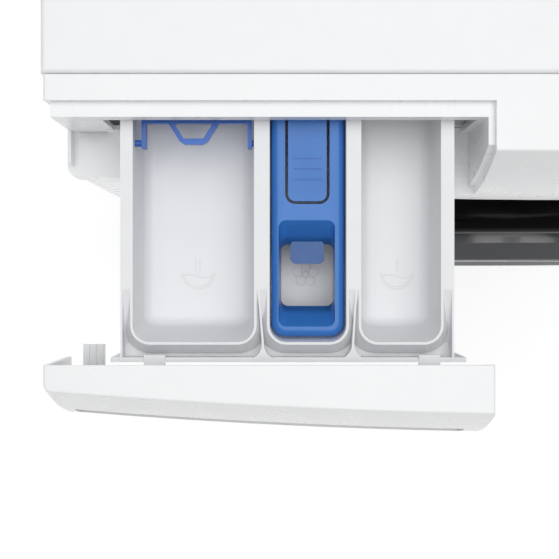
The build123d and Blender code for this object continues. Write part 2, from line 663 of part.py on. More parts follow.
with BuildPart() as siphon_cover:
    middle = ((cover_x[0] + cover_x[1]) / 2, (cover_y[0] + cover_y[1]) / 2)
    with BuildSketch(Plane((*middle, cover_z[0]), z_dir=(0, 0, 1))):
        RectangleRounded(cover_x[1] - cover_x[0], cover_y[1] - cover_y[0], 7.6)
    extrude(amount=cover_z[1] - cover_z[0])
    fillet(siphon_cover.faces().sort_by(Axis.Z)[-1].edges(), radius=4)
    with BuildSketch(Plane((*middle, cover_z[0] - 1), z_dir=(0, 0, 1))):
        RectangleRounded(cover_x[1] - cover_x[0] - 3.6, cover_y[1] - cover_y[0] - 3.6, 5.8)
    extrude(amount=cover_z[1] - cover_z[0] - 3.6, mode=Mode.SUBTRACT)
    add(funnel_outside.part)
    add(funnel_hole.part, mode=Mode.SUBTRACT)
    # Level tab at the rear edge of the pouring hole.
    with BuildSketch(Plane.XY.offset(cover_z[1] - funnel_depth)):
        with Locations((siphon_place[0], funnel_low[1][1] - 4.5)):
            RectangleRounded(18.6, 13, 3)
    extrude(amount=1.6)
    # U shaped gap round the release tongue.
    gap_y = (tongue_y[0] - tongue_gap, tongue_y[1] + 0.5)
    gap_width, gap_length = tongue_x[1] - tongue_x[0] + 2 * tongue_gap, gap_y[1] - gap_y[0] + 8
    with BuildSketch(Plane.XY.offset(cover_z[1] - 8)):
        with Locations(((tongue_x[0] + tongue_x[1]) / 2, gap_y[0] + gap_length / 2)):
            RectangleRounded(gap_width, gap_length, 5.6)
    extrude(amount=12, mode=Mode.SUBTRACT)
    block((tongue_x[0] - 2, tongue_x[1] + 2), (gap_y[1], gap_y[1] + 9), (cover_z[1] - 3, cover_z[1]))
    # Siphon cap that stands over the tube in the compartment.
    rod_z(7.6, (bin_floor + 2, cover_z[1] - 2), *siphon_place)
    rod_z(6.2, (bin_floor, cover_z[1] - 4), *siphon_place, mode=Mode.SUBTRACT)
keep(siphon_cover, "siphon_cover")

with BuildPart() as release_tongue:
    centre = ((tongue_x[0] + tongue_x[1]) / 2, (tongue_y[0] + tongue_y[1]) / 2, cover_z[1] - 2)
    with BuildSketch(Plane(centre, z_dir=(0, 0, 1))):
        RectangleRounded(tongue_x[1] - tongue_x[0], tongue_y[1] - tongue_y[0], 4)
    extrude(amount=2)
    for grip_y in (-188, -193.7, -199.4):
        groove_z = (cover_z[1] - 0.5, cover_z[1] + 1)
        block((-166, -151), (grip_y - 0.5, grip_y + 0.5), groove_z, mode=Mode.SUBTRACT)
keep(release_tongue, "release_tongue")

# ---------------------------------------------------------------- liquid detergent flap
flap_bar_y = (-168.4, -165)
flap_plate_y = (-161.4, -159)
flap_span = (-249.3, -188.9)
flap_low, flap_plate_top, flap_top = bin_floor + 7, flap_pivot_z + 1, rim_z - 4.6
with BuildPart() as detergent_flap:
    with BuildSketch(Plane((0, flap_plate_y[0], 0), x_dir=(1, 0, 0), z_dir=(0, -1, 0))):
        with Locations(((flap_span[0] + flap_span[1]) / 2, (flap_low + flap_plate_top) / 2)):
            Rectangle(flap_span[1] - flap_span[0], flap_plate_top - flap_low)
    extrude(amount=flap_plate_y[0] - flap_plate_y[1])
    low = detergent_flap.edges().filter_by(Axis.Y).group_by(Axis.Z)[0]
    fillet(low, radius=12)
    block(flap_span, flap_bar_y, (flap_pivot_z - 1.6, flap_top))
    for arm_x in ((flap_span[0], flap_span[0] + 2.4), (flap_span[1] - 2.4, flap_span[1])):
        block(arm_x, (flap_pivot_y - 3, flap_plate_y[1]), (flap_pivot_z - 5, flap_plate_top))
        block(arm_x, (flap_pivot_y - 3, flap_bar_y[1]), (flap_pivot_z - 5, flap_top))
    for pin_x in ((main_pocket[0] - 2.9, flap_span[0] + 1), (flap_span[1] - 1, main_pocket[1] + 2.9)):
        rod_x(flap_pin, pin_x, flap_pivot_y, flap_pivot_z)
    # Loop handle on the bar.
    with BuildSketch(Plane.XY.offset(rim_z - 10.6)):
        with BuildLine():
            loop_left = [(-235.5, -167), (-228.4, -178.2), (-225.6, -179.8)]
            loop_right = [(-216, -179.8), (-213.2, -178.2), (-206.2, -167)]
            Polyline(*loop_left, *loop_right, close=True)
        make_face()
        with BuildLine():
            Polyline((-231.4, -168.2), (-226.3, -176.6), (-215.4, -176.6), (-210.3, -168.2), close=True)
        make_face(mode=Mode.SUBTRACT)
    extrude(amount=6)
keep(detergent_flap, "detergent_flap")

# ================================================================ wash unit
damper_x, damper_y = 215, 40
lug_low, lug_high = 242, 605
nipple_z = 640
motor_x, motor_z = 155, 115
heater_x, heater_z = 30, 168
sump_place = (60, -30)
pulley_y = (284, 300)

with BuildPart() as damper_lugs:
    for side in (-1, 1):
        lug = sorted((side * (damper_x - 11), side * (damper_x + 11)))
        block(lug, (damper_y - 12, damper_y + 12), (lug_low, 280))
    block((20, 100), (-70, 10), (141, 180))
    rod_z(18, (126, 145), *sump_place)
    rod_y(267, (-100, 100), mode=Mode.SUBTRACT)

with BuildPart() as tub_front:
    turned(
        (172, -141), (176, -141), (176, tub_front_y), (tub_outer, tub_front_y),
        (tub_outer, tub_split - 4), (tub_flange, tub_split - 4), (tub_flange, tub_split),
        (tub_inner, tub_split), (tub_inner, tub_front_y + 6), (172, tub_front_y + 6),
    )
    add(damper_lugs.part)
    block((23, 97), (-67, 7), (144, 185), mode=Mode.SUBTRACT)
    rod_z(15, (120, 150), *sump_place, mode=Mode.SUBTRACT)
    for side in (-1, 1):
        rod_y(4.5, (-132, -115), side * heater_x, heater_z, mode=Mode.SUBTRACT)
keep(tub_front, "tub_front")

with BuildPart() as spring_lugs:
    for side in (-1, 1):
        lug = sorted((side * (spring_x - 11), side * (spring_x + 11)))
        block(lug, (spring_y - 12, spring_y + 12), (560, lug_high))
    rod_z(17, (590, nipple_z), *spout_place)
    rod_y(267, (50, 200), mode=Mode.SUBTRACT)

with BuildPart() as tub_rear:
    turned(
        (tub_inner, tub_split + 0.2), (tub_flange, tub_split + 0.2), (tub_flange, tub_split + 4),
        (tub_outer, tub_split + 4), (tub_outer, tub_rear_y), (50, tub_rear_y), (50, 262),
        (bearing_radius, 262), (bearing_radius, tub_rear_y - 6), (tub_inner, tub_rear_y - 6),
    )
    add(spring_lugs.part)
    for turn in range(0, 360, 30):
        radial = (cos(radians(turn)), 0, sin(radians(turn)))
        with BuildSketch(Plane((0, tub_rear_y - 1, z_axis), x_dir=radial, z_dir=(0, 1, 0))):
            with Locations((155, 0)):
                Rectangle(214, 5)
        extrude(amount=12)
    rod_z(14, (580, nipple_z + 5), *spout_place, mode=Mode.SUBTRACT)
keep(tub_rear, "tub_rear")

with BuildPart() as tub_bearings:
    inner, outer = shaft_radius + 0.05, bearing_radius - 0.02
    for y_low in (230, 247):
        turned((inner, y_low), (outer, y_low), (outer, y_low + 14), (inner, y_low + 14))
keep(tub_bearings, "tub_bearings")

with BuildPart() as heater:
    ends = [(heater_x, -138), (heater_x, 150), (-heater_x, 150), (-heater_x, -138)]
    tube(4, [(x, y, heater_z) for x, y in ends], 29)
    block((-39, 39), (-132, -128.1), (157, 179))
keep(heater, "heater")

with BuildPart() as counterweight:
    block((-150, 150), (-100, 40), (600, 745))
    fillet(counterweight.faces().sort_by(Axis.Z)[-1].edges(), radius=8)
    rod_y(268.4, (-110, 50), mode=Mode.SUBTRACT)
keep(counterweight, "counterweight")

with BuildPart() as suspension_springs:
    for side in (-1, 1):
        rod_z(12, (lug_high + 0.2, spring_top - 0.2), side * spring_x, spring_y)
        rod_z(9, (lug_high - 1, spring_top + 1), side * spring_x, spring_y, mode=Mode.SUBTRACT)
keep(suspension_springs, "suspension_springs")

with BuildPart() as damper_cylinders:
    for side in (-1, 1):
        rod_z(14, (56.1, 190), side * damper_x, damper_y)
        rod_z(10.05, (70, 195), side * damper_x, damper_y, mode=Mode.SUBTRACT)
keep(damper_cylinders, "damper_cylinders")

with BuildPart() as damper_rods:
    for side in (-1, 1):
        rod_z(10, (100, lug_low - 0.1), side * damper_x, damper_y)
keep(damper_rods, "damper_rods")

with BuildPart() as fill_bellows:
    folds = 9
    fold_height = (spout_z - nipple_z - 0.4) / folds
    bore, valley, crest = 12.5, 15.5, 19.5
    outline = [(bore, nipple_z + 0.2)]
    for fold in range(folds):
        z_fold = nipple_z + 0.2 + fold * fold_height
        outline += [(valley, z_fold), (crest, z_fold + fold_height / 2)]
    outline += [(valley, spout_z - 0.2), (bore, spout_z - 0.2)]
    with BuildSketch(Plane((*spout_place, 0), x_dir=(1, 0, 0), z_dir=(0, -1, 0))):
        with BuildLine():
            Polyline(*outline, close=True)
        make_face()
    revolve(axis=Axis((*spout_place, 0), (0, 0, 1)))
keep(fill_bellows, "fill_bellows")

# Rubber bellows between the front sheet and the tub's mouth.
with BuildPart() as door_gasket:
    turned(
        (176.5, -190), (179.6, -190), (179.6, -173), (188, -166), (188, -152), (179.5, -143),
        (179.5, -129.5), (176.4, -129.5), (176.4, -142.2), (184.6, -153.2), (184.6, -164.6),
        (176.5, -171.2), (160, -166), (158.5, -168.5), (176.5, -175.5),
    )
keep(door_gasket, "door_gasket")

with BuildPart() as motor:
    rod_y(60, (130, 236), motor_x, motor_z)
    fillet(motor.edges().filter_by(GeomType.CIRCLE), radius=5)
    rod_y(16, (235, 246), motor_x, motor_z)
    block((120, 190), (150, 215), (150, 205))
    rod_y(268.4, (100, 260), mode=Mode.SUBTRACT)
    rod_y(6.06, (195, 250), motor_x, motor_z, mode=Mode.SUBTRACT)
keep(motor, "motor")

with BuildPart() as motor_pulley:
    rod_y(6, (200, 304), motor_x, motor_z)
    rod_y(11, (pulley_y[0] - 2, pulley_y[1] + 2), motor_x, motor_z)
keep(motor_pulley, "motor_pulley")

pulley_radius = 140
with BuildPart() as drum_pulley:
    turned(
        (15.02, pulley_y[0]), (24, pulley_y[0]), (24, 290), (130, 290), (130, pulley_y[0]),
        (pulley_radius, pulley_y[0]), (pulley_radius, pulley_y[1]), (130, pulley_y[1]), (130, 294),
        (24, 294), (24, 303), (15.02, 303),
    )
    for turn in range(0, 360, 60):
        place = (78 * cos(radians(turn)), z_axis + 78 * sin(radians(turn)))
        rod_y(26, (286, 298), *place, mode=Mode.SUBTRACT)
keep(drum_pulley, "drum_pulley")

with BuildPart() as drive_belt:
    for grow, mode in ((3.3, Mode.ADD), (0.3, Mode.SUBTRACT)):
        with BuildSketch(Plane((0, pulley_y[0] + 1.5, z_axis), x_dir=(1, 0, 0), z_dir=(0, 1, 0))):
            Circle(pulley_radius + grow)
            with Locations((motor_x, z_axis - motor_z)):
                Circle(11 + grow)
            make_hull()
        extrude(amount=pulley_y[1] - pulley_y[0] - 3, mode=mode)
keep(drive_belt, "drive_belt")

# ---------------------------------------------------------------- drum
with BuildPart() as drum_shell:
    turned(
        (160, drum_front), (drum_radius, drum_front), (drum_radius, drum_rear), (34, drum_rear),
        (34, drum_rear - drum_skin), (drum_radius - drum_skin, drum_rear - drum_skin),
        (drum_radius - drum_skin, drum_front + drum_skin), (160 + drum_skin, drum_front + drum_skin),
        (160 + drum_skin, drum_front + 9), (160, drum_front + 9),
    )
keep(drum_shell, "drum_shell")

with BuildPart() as drum_spider:
    rod_y(33, (drum_rear - 1.4, 224.5))
    for turn in (90, 210, 330):
        radial = (cos(radians(turn)), 0, sin(radians(turn)))
        with BuildSketch(Plane((0, drum_rear + 0.2, z_axis), x_dir=radial, z_dir=(0, 1, 0))):
            with BuildLine():
                Polyline((20, -24), (230, -13), (230, 13), (20, 24), close=True)
            make_face()
        extrude(amount=11)
    rod_y(shaft_radius + 0.02, (200, 230), mode=Mode.SUBTRACT)
keep(drum_spider, "drum_spider")

with BuildPart() as drum_shaft:
    rod_y(shaft_radius, (drum_rear - 1, 305))
    fillet(drum_shaft.edges().filter_by(GeomType.CIRCLE), radius=1)
keep(drum_shaft, "drum_shaft")

with BuildPart() as drum_lifters:
    for turn in (30, 150, 270):
        radial = (cos(radians(turn)), 0, sin(radians(turn)))
        with BuildSketch(Plane((0, -88, z_axis), x_dir=radial, z_dir=(0, 1, 0))):
            with BuildLine():
                Polyline((236, -32), (236, 32), (226, 26), (196, 12))
                ThreePointArc((196, 12), (189, 0), (196, -12))
                Polyline((196, -12), (226, -26), (236, -32))
            make_face()
        extrude(amount=284)
keep(drum_lifters, "drum_lifters")

# ================================================================ pump and drain
pump_y = (-176, -60)
filter_radius = 22.5
inlet_y = -106
with BuildPart() as drain_pump:
    rod_y(27, pump_y, pump_x, pump_z)
    rod_y(23, (-61, -18), pump_x, pump_z)
    rod_x(15, (160, 200), inlet_y, pump_z)
    rod_z(9, (pump_z, 104), pump_x + 12, -96)
    rod_y(filter_radius, (-180, -88), pump_x, pump_z, mode=Mode.SUBTRACT)
    rod_x(12, (150, 190), inlet_y, pump_z, mode=Mode.SUBTRACT)
    rod_z(6.5, (pump_z, 110), pump_x + 12, -96, mode=Mode.SUBTRACT)
    rod_y(2.06, (-90, -70), pump_x, pump_z, mode=Mode.SUBTRACT)
keep(drain_pump, "drain_pump")

with BuildPart() as filter_cap:
    rod_y(25, (-179, -176.4), pump_x, pump_z)
    rod_y(22, (-176.5, -152), pump_x, pump_z)
    rod_y(8, (-153, -114), pump_x, pump_z)
    block((pump_x - 3.5, pump_x + 3.5), (-185, -178), (pump_z - 19, pump_z + 19))
    fillet(filter_cap.edges().filter_by(Axis.Y).group_by(Axis.Y)[0], radius=2)
keep(filter_cap, "filter_cap")

with BuildPart() as pump_impeller:
    rod_y(6, (-101, -90), pump_x, pump_z)
    rod_y(2, (-91, -74), pump_x, pump_z)
    block((pump_x - 19, pump_x + 19), (-100, -91), (pump_z - 1.2, pump_z + 1.2))
    block((pump_x - 1.2, pump_x + 1.2), (-100, -91), (pump_z - 19, pump_z + 19))
keep(pump_impeller, "pump_impeller")

with BuildPart() as sump_hose:
    hose_points = [(*sump_place, 125.8), (*sump_place, 70), (110, inlet_y, pump_z), (159.8, inlet_y, pump_z)]
    tube(14, hose_points, 24)
keep(sump_hose, "sump_hose")

with BuildPart() as drain_pipe:
    pipe_points = [
        (pump_x + 12, -96, 104.2), (pump_x + 12, -96, 145), (264, -50, 150), (264, 240, 150),
        (drain_x, 300, 205), (drain_x, 300, drain_z), (drain_x, 327, drain_z),
    ]
    tube(8, pipe_points, [25, 25, 40, 40, 20])
    rod_y(10, (321, y_back), drain_x, drain_z)
    rod_y(7, (326, y_back + 1), drain_x, drain_z, mode=Mode.SUBTRACT)
keep(drain_pipe, "drain_pipe")

# ================================================================ door
hinge_place = (-238, -208)
hook_place = (lock_x, -205)
hinge_radius = 4               # radius of the door's hinge pin
hook_pin = 1.5                 # radius of the hook's pin

with BuildPart() as door_frame:
    turned(
        (172, -192.4), (door_radius, -192.4), (door_radius, -221.4), (183, -221.4),
        (183, -206.2), (172, -206.2),
    )
    rims = door_frame.edges().filter_by(GeomType.CIRCLE)
    fillet(rims.filter_by(lambda e: e.radius > 229 and e.center().Y < -220), radius=13)
    fillet(rims.filter_by(lambda e: e.radius > 229 and e.center().Y > -193), radius=2)
    block((217, 240), (-215, -198), (372, 464), mode=Mode.SUBTRACT)
    block((-236, -168), (-206.3, -199), (366, 470), mode=Mode.SUBTRACT)
    block((200, 214), (-210, -190), (404, 432), mode=Mode.SUBTRACT)
    rod_z(hook_pin + pin_gap, (400.6, 435.4), *hook_place, mode=Mode.SUBTRACT)
keep(door_frame, "door_frame")

with BuildPart() as door_ring:
    turned(
        (150.8, -206.4), (182.4, -206.4), (182.4, -227), (170, -240), (150, -240),
        (134, -231), (134, -226.5), (150.8, -226.5),
    )
    ring_rims = door_ring.edges().filter_by(GeomType.CIRCLE)
    fillet(ring_rims.filter_by(lambda e: e.center().Y < -239 and e.radius > 149), radius=4)
keep(door_ring, "door_ring")

with BuildPart() as door_glass:
    turned(
        (143.5, -226.2), (150.4, -226.2), (150.4, -206.6), (147.4, -204), (146.5, -190), (122, -76),
        (112, -65), (0, -61), (0, -65), (110, -69), (118, -78), (142.5, -191), (143.5, -205),
    )
keep(door_glass, "door_glass")

with BuildPart() as door_inner_frame:
    turned((151, -206), (171.6, -206), (171.6, -192.5), (168, -184), (151, -184))
keep(door_inner_frame, "door_inner_frame")

with BuildPart() as door_hinge_arm:
    rod_z(7.4, (361, 475), *hinge_place)
    block((hinge_place[0], -178), (-205.6, -200.8), (369, 467))
    rod_z(hinge_radius + pin_gap, (350, 480), *hinge_place, mode=Mode.SUBTRACT)
keep(door_hinge_arm, "door_hinge_arm")

with BuildPart() as hinge_bracket:
    block((-268, -232), (-192.2, -190.05), (345, 491))
    for ear_z in ((350, 359.5), (476.5, 486)):
        block((-247, -232), (-216, -191), ear_z)
    rod_z(hinge_radius + 0.02, (340, 495), *hinge_place, mode=Mode.SUBTRACT)
keep(hinge_bracket, "hinge_bracket")

with BuildPart() as hinge_pin:
    rod_z(hinge_radius, (348, 488), *hinge_place)
    rod_z(6, (486.1, 489), *hinge_place)
keep(hinge_pin, "hinge_pin")

with BuildPart() as door_hook:
    rod_z(3.5, (405.5, 430.5), *hook_place)
    rod_z(hook_pin, (401, 435), *hook_place)
    block((205, 209), (hook_place[1], -177), (408, 428))
    block((205, 211.5), (-181, -177), (408, 428))
keep(door_hook, "door_hook")

with BuildPart() as door_lock:
    block((196, 228), (-187.9, -150), (388, 448))
    block((200, 214.5), (-190, -168), (402, 434), mode=Mode.SUBTRACT)
    block((205, 222), (-151, -140), (395, 420))
keep(door_lock, "door_lock")
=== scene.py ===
"""Front load washing machine: materials, fine detail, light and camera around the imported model."""
import json
import math

import bmesh
import bpy
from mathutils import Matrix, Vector
from mathutils.bvhtree import BVHTree


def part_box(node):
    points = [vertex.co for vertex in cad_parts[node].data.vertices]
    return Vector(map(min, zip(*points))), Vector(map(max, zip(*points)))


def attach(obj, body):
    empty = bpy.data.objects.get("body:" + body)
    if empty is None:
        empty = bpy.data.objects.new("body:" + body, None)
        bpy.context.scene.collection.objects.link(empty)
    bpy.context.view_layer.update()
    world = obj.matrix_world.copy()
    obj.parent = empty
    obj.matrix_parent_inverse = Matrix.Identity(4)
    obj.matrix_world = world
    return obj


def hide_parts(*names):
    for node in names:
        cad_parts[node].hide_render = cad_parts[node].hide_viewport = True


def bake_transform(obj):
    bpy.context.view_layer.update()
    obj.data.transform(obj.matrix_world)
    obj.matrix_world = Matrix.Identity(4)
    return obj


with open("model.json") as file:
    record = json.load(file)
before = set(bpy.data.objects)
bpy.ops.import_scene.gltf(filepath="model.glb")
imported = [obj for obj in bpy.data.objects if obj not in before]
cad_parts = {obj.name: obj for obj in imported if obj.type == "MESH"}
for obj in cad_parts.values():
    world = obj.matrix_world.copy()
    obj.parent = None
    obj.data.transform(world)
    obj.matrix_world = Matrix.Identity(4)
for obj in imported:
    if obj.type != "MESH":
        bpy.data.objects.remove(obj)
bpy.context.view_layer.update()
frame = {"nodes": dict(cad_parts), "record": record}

scene = bpy.context.scene
MM = 0.001
PAINTED_SHADE_FADE = 3 * MM                        # over which the painted shade below a height fades in


# ---------------------------------------------------------------- camera
# Straight down over the open drawer, with the machine's front towards the bottom of the frame.
worktop_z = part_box("top_plate")[1].z
CAMERA_PLACE = (-0.1738, -0.2537)
CAMERA_HEIGHT = 0.650                      # above the worktop
CAMERA_LENS, CAMERA_SENSOR = 79.5, 36
camera_data = bpy.data.cameras.new("camera")
camera_data.sensor_width = CAMERA_SENSOR
camera_data.lens = CAMERA_LENS
camera = bpy.data.objects.new("camera", camera_data)
camera.location = (*CAMERA_PLACE, worktop_z + CAMERA_HEIGHT)
scene.collection.objects.link(camera)
scene.camera = camera


# ---------------------------------------------------------------- materials
def srgb(red, green, blue):
    """A display colour, 0 to 255, as the linear colour that shaders use."""
    def linear(value):
        value = value / 255
        return value / 12.92 if value <= 0.04045 else ((value + 0.055) / 1.055) ** 2.4
    return (linear(red), linear(green), linear(blue), 1.0)


def shade(colour, factor):
    """A colour made lighter or darker by a factor."""
    return tuple(min(1.0, c * factor) for c in colour[:3]) + (1.0,)


def noise(tree, vector, scale, detail=3.0):
    """A noise texture on the given coordinates; scale is in cycles a metre."""
    node = tree.nodes.new("ShaderNodeTexNoise")
    node.inputs["Scale"].default_value = scale
    node.inputs["Detail"].default_value = detail
    tree.links.new(vector, node.inputs["Vector"])
    return node.outputs["Fac"]


def spread(tree, value, low, high):
    """Maps the middle of a noise's range to low .. high."""
    node = tree.nodes.new("ShaderNodeMapRange")
    node.inputs["From Min"].default_value = 0.3
    node.inputs["From Max"].default_value = 0.7
    node.inputs["To Min"].default_value = low
    node.inputs["To Max"].default_value = high
    tree.links.new(value, node.inputs["Value"])
    return node.outputs["Result"]


def mixed(tree, factor, first, second):
    """A colour mix; first and second are colours or sockets."""
    node = tree.nodes.new("ShaderNodeMix")
    node.data_type = "RGBA"
    tree.links.new(factor, node.inputs["Factor"])
    for socket, value in ((node.inputs[6], first), (node.inputs[7], second)):
        if isinstance(value, tuple):
            socket.default_value = value
        else:
            tree.links.new(value, socket)
    return node.outputs[2]


def surface(
    name, colour, roughness, metallic=0.0, grain=1200, depth=0.00002, cloud=0.02,
    vary=0.04, coat=0.0, brush=(1, 1, 1), edge=1.0, specks=None, shine=0.5, painted_shade_below=None,
):
    """A solid finish: clouded colour, uneven gloss, fine grain, convex edges painted lighter as a painted
    highlight (darker with a factor below 1), and painted shade below a given height.

    grain is in cycles a metre, depth in metres; brush stretches the grain along one axis;
    shine is how strongly it reflects, 0.5 for ordinary plastic;
    specks is (colour, cycles a metre, share) for a second colour in small spots;
    the last argument, (height, factor), paints shade: the colour is darkened by the factor below that
    height.
    """
    material = bpy.data.materials.new(name)
    material.use_nodes = True
    tree = material.node_tree
    shader = tree.nodes["Principled BSDF"]
    shader.inputs["Metallic"].default_value = metallic
    shader.inputs["Coat Weight"].default_value = coat
    shader.inputs["Coat Roughness"].default_value = 0.08
    shader.inputs["Specular IOR Level"].default_value = shine
    place = tree.nodes.new("ShaderNodeTexCoord").outputs["Object"]
    stretched = tree.nodes.new("ShaderNodeMapping")
    stretched.inputs["Scale"].default_value = brush
    tree.links.new(place, stretched.inputs["Vector"])
    fine = noise(tree, stretched.outputs["Vector"], grain, 4.0)
    clouds = spread(tree, noise(tree, place, 14), 0, 1)
    tint = mixed(tree, clouds, shade(colour, 1 - cloud), shade(colour, 1 + cloud))
    if specks:
        spot_colour, spot_scale, share = specks
        ramp = tree.nodes.new("ShaderNodeMapRange")
        ramp.inputs["From Min"].default_value = 1 - share
        ramp.inputs["From Max"].default_value = 1 - share + 0.05
        tree.links.new(noise(tree, place, spot_scale, 1.0), ramp.inputs["Value"])
        tint = mixed(tree, ramp.outputs["Result"], tint, spot_colour)
    # Painted highlight: convex edges, found by pointiness, are painted lighter by the edge factor (darker
    # if it is below 1).
    if edge != 1.0:
        corner = tree.nodes.new("ShaderNodeMapRange")
        corner.inputs["From Min"].default_value = 0.52
        corner.inputs["From Max"].default_value = 0.62
        geometry = tree.nodes.new("ShaderNodeNewGeometry")
        tree.links.new(geometry.outputs["Pointiness"], corner.inputs["Value"])
        tint = mixed(tree, corner.outputs["Result"], tint, shade(colour, edge))
    # Painted shade: below the given height the colour is darkened, for parts that lie in shade.
    if painted_shade_below:
        height, factor = painted_shade_below
        parts = tree.nodes.new("ShaderNodeSeparateXYZ")
        tree.links.new(place, parts.inputs["Vector"])
        level = tree.nodes.new("ShaderNodeMapRange")
        level.inputs["From Min"].default_value = height
        level.inputs["From Max"].default_value = height - PAINTED_SHADE_FADE
        tree.links.new(parts.outputs["Z"], level.inputs["Value"])
        tint = mixed(tree, level.outputs["Result"], tint, shade(colour, factor))
    tree.links.new(tint, shader.inputs["Base Color"])
    gloss = spread(tree, noise(tree, place, 90), max(0.02, roughness - vary), roughness + vary)
    tree.links.new(gloss, shader.inputs["Roughness"])
    bump = tree.nodes.new("ShaderNodeBump")
    bump.inputs["Distance"].default_value = depth
    bump.inputs["Strength"].default_value = 0.6
    tree.links.new(fine, bump.inputs["Height"])
    tree.links.new(bump.outputs["Normal"], shader.inputs["Normal"])
    return material


def glass(name, colour, roughness, ior=1.5):
    """Pressed glass with faint waviness."""
    material = surface(name, colour, roughness, grain=40, depth=0.0001, cloud=0.005, vary=0.01)
    shader = material.node_tree.nodes["Principled BSDF"]
    shader.inputs["Transmission Weight"].default_value = 1.0
    shader.inputs["IOR"].default_value = ior
    return material


def glowing(name, colour, strength):
    """A lit display segment with slightly uneven light."""
    material = surface(name, colour, 0.4, cloud=0.05)
    shader = material.node_tree.nodes["Principled BSDF"]
    shader.inputs["Emission Color"].default_value = colour
    shader.inputs["Emission Strength"].default_value = strength
    return material


# The grain of moulded plastic, and of smoother finishes.
PLASTIC = dict(grain=1500, depth=0.000004)
FINE = dict(grain=1800, depth=0.0000015)
